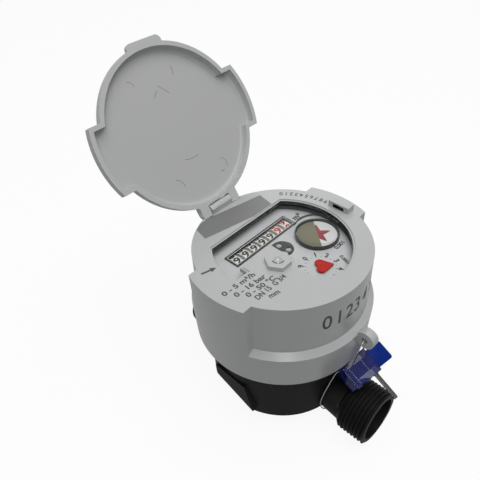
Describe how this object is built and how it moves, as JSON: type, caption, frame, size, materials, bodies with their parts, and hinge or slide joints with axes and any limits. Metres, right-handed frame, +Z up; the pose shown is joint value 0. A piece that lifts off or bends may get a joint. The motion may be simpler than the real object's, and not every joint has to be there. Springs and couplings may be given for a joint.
{
  "type": "water meter",
  "caption": "Domestic water meter: a black pot with threaded ports under a pale grey shroud with a hinged lid held open, a dial with number drums and pointers, and a clear wire seal.",
  "frame": {"origin": "centre of the flat base, on the axis of the pot and the register", "axes": "+X along the pipe towards the outlet, +Z up through the dial, +Y towards the lid's keeper"},
  "size_m": [0.1424, 0.0842, 0.1549],
  "materials": {
    "body_black": "moulded, faint sheen",
    "white_plastic": "moulded",
    "steel": "drawn wire finish",
    "rubber_black": "matt",
    "case_black": "moulded",
    "magnet_grey": "satin",
    "dial_white": "printed",
    "frame_black": "matt",
    "drum_white": "printed",
    "star_black": "gloss",
    "pointer_red": "gloss",
    "target_white": "printed",
    "bezel_black": "gloss",
    "cover_clear": "clear, polished",
    "shroud_grey": "moulded, smooth",
    "lid_grey": "moulded, smooth",
    "plate_grey": "satin",
    "seal_clear": "clear, polished",
    "seal_blue": "gloss",
    "wire_steel": "twisted strands"
  },
  "bodies": {
    "meter": {"body": "body_black", "inlet_strainer": "white_plastic", "measuring_chamber": "white_plastic", "chamber_cover": "white_plastic", "pivot_pin": "steel", "pressure_plate": "white_plastic", "o_ring": "rubber_black", "retaining_ring": "case_black", "register_case": "case_black", "movement": "case_black", "dial_plate": "dial_white", "counter_frame": "frame_black", "drum_axle": "steel", "target_bezel": "bezel_black", "register_cover": "cover_clear", "shroud": "shroud_grey", "hinge_pin": "steel", "name_plate": "plate_grey", "seal_body": "seal_clear", "seal_rotor": "seal_blue", "seal_wire": "wire_steel"},
    "lid": {"lid": "lid_grey"},
    "impeller": {"impeller": "white_plastic"},
    "driven_magnet": {"driven_magnet": "magnet_grey"},
    "star_indicator": {"star_indicator": "star_black"},
    "heart_pointer": {"heart_pointer": "pointer_red"},
    "target_disc": {"target_disc": "target_white"},
    "drum_1": {"drum_1": "drum_white"},
    "drum_2": {"drum_2": "drum_white"},
    "drum_3": {"drum_3": "drum_white"},
    "drum_4": {"drum_4": "drum_white"},
    "drum_5": {"drum_5": "drum_white"},
    "drum_6": {"drum_6": "drum_white"},
    "drum_7": {"drum_7": "drum_white"}
  },
  "joints": [
    {"name": "lid_hinge", "type": "hinge", "parent": "meter", "child": "lid", "pos_m": [-0.0374, 0, 0.0893], "axis": [0, 1, 0], "range_deg": [0, 123.1]},
    {"name": "impeller_spin", "type": "hinge", "parent": "meter", "child": "impeller", "pos_m": [0, 0, 0.0145], "axis": [0, 0, 1], "continuous": true},
    {"name": "magnet_spin", "type": "hinge", "parent": "meter", "child": "driven_magnet", "pos_m": [0, 0, 0.04], "axis": [0, 0, 1], "continuous": true},
    {"name": "star_spin", "type": "hinge", "parent": "meter", "child": "star_indicator", "pos_m": [-0.0014, 0.0019, 0.0815], "axis": [0, 0, 1], "continuous": true},
    {"name": "heart_spin", "type": "hinge", "parent": "meter", "child": "heart_pointer", "pos_m": [0.018, 0.0034, 0.0823], "axis": [0, 0, 1], "continuous": true},
    {"name": "target_spin", "type": "hinge", "parent": "meter", "child": "target_disc", "pos_m": [0.0046, 0.0184, 0.0823], "axis": [0, 0, 1], "continuous": true},
    {"name": "drum_1_spin", "type": "hinge", "parent": "meter", "child": "drum_1", "pos_m": [-0.0117, -0.01575, 0.0746], "axis": [0, 1, 0], "continuous": true},
    {"name": "drum_2_spin", "type": "hinge", "parent": "meter", "child": "drum_2", "pos_m": [-0.0117, -0.0105, 0.0746], "axis": [0, 1, 0], "continuous": true},
    {"name": "drum_3_spin", "type": "hinge", "parent": "meter", "child": "drum_3", "pos_m": [-0.0117, -0.00525, 0.0746], "axis": [0, 1, 0], "continuous": true},
    {"name": "drum_4_spin", "type": "hinge", "parent": "meter", "child": "drum_4", "pos_m": [-0.0117, 0, 0.0746], "axis": [0, 1, 0], "continuous": true},
    {"name": "drum_5_spin", "type": "hinge", "parent": "meter", "child": "drum_5", "pos_m": [-0.0117, 0.00525, 0.0746], "axis": [0, 1, 0], "continuous": true},
    {"name": "drum_6_spin", "type": "hinge", "parent": "meter", "child": "drum_6", "pos_m": [-0.0117, 0.0105, 0.0746], "axis": [0, 1, 0], "continuous": true},
    {"name": "drum_7_spin", "type": "hinge", "parent": "meter", "child": "drum_7", "pos_m": [-0.0117, 0.01575, 0.0746], "axis": [0, 1, 0], "continuous": true}
  ],
  "couplings": [
    {"joint": "magnet_spin", "follows": "impeller_spin", "ratio": 1},
    {"joint": "star_spin", "follows": "impeller_spin", "ratio": -1},
    {"joint": "heart_spin", "follows": "impeller_spin", "ratio": 0.05},
    {"joint": "target_spin", "follows": "impeller_spin", "ratio": -0.005},
    {"joint": "drum_7_spin", "follows": "impeller_spin", "ratio": 0.0005},
    {"joint": "drum_6_spin", "follows": "impeller_spin", "ratio": 0.00005},
    {"joint": "drum_5_spin", "follows": "impeller_spin", "ratio": 0.000005},
    {"joint": "drum_4_spin", "follows": "impeller_spin", "ratio": 0.0000005},
    {"joint": "drum_3_spin", "follows": "impeller_spin", "ratio": 0.00000005},
    {"joint": "drum_2_spin", "follows": "impeller_spin", "ratio": 0.000000005},
    {"joint": "drum_1_spin", "follows": "impeller_spin", "ratio": 0.0000000005}
  ]
}
